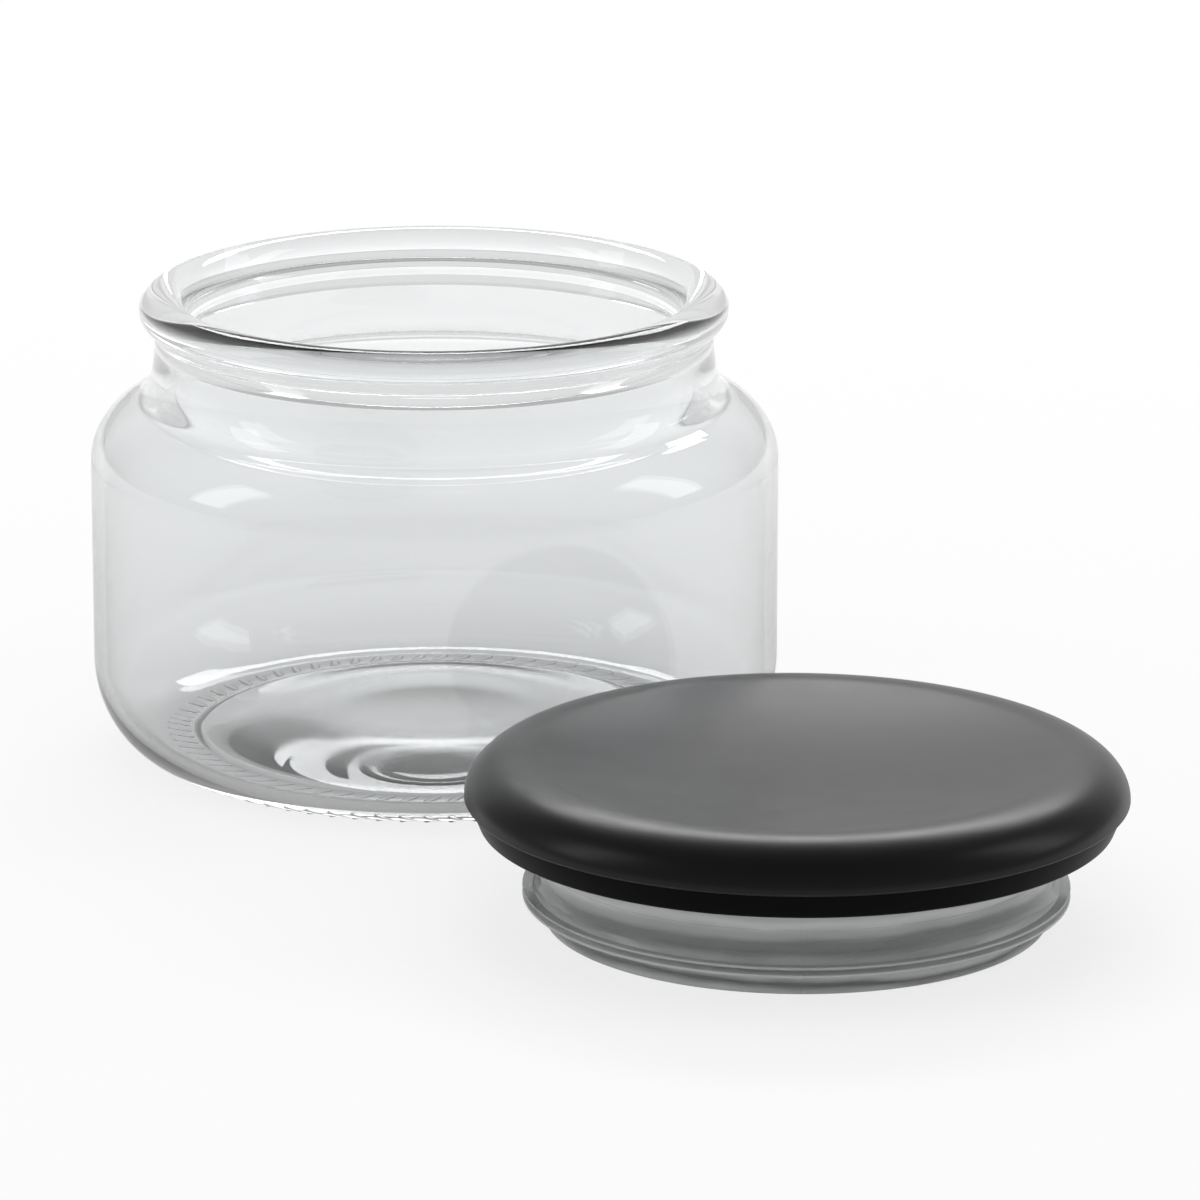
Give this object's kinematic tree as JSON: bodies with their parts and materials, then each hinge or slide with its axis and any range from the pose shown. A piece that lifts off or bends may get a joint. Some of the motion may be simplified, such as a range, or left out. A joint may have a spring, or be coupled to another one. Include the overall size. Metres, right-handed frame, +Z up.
{
  "type": "glass jar with lid",
  "caption": "Short round clear glass jar with a wide mouth, rolled rim and knurled base, and a dished black push-in lid with a clear finned gasket lying beside it.",
  "frame": {"origin": "centre of the jar's bearing ring, on the surface that it stands on", "axes": "+Z up along the jar's axis, out of its mouth; -Y towards the viewer of the picture and +X to the right, with the lid lying at the front right"},
  "size_m": [0.1463, 0.1768, 0.0689],
  "materials": {
    "clear_glass": "clear soda-lime glass, fire polished",
    "lid_black": "satin black moulded plastic",
    "lid_black_base": "satin black moulded plastic",
    "gasket_clear": "clear flexible moulded gasket, glossy"
  },
  "bodies": {
    "jar": {"glass_jar": "clear_glass"},
    "lid": {"lid_top": "lid_black", "lid_base": "lid_black_base", "lid_gasket": "gasket_clear"}
  },
  "joints": [
    {"name": "lid_lift", "type": "slide", "parent": "jar", "child": "lid", "axis": [0, 0, 1], "range_m": [0, 0.085]}
  ]
}
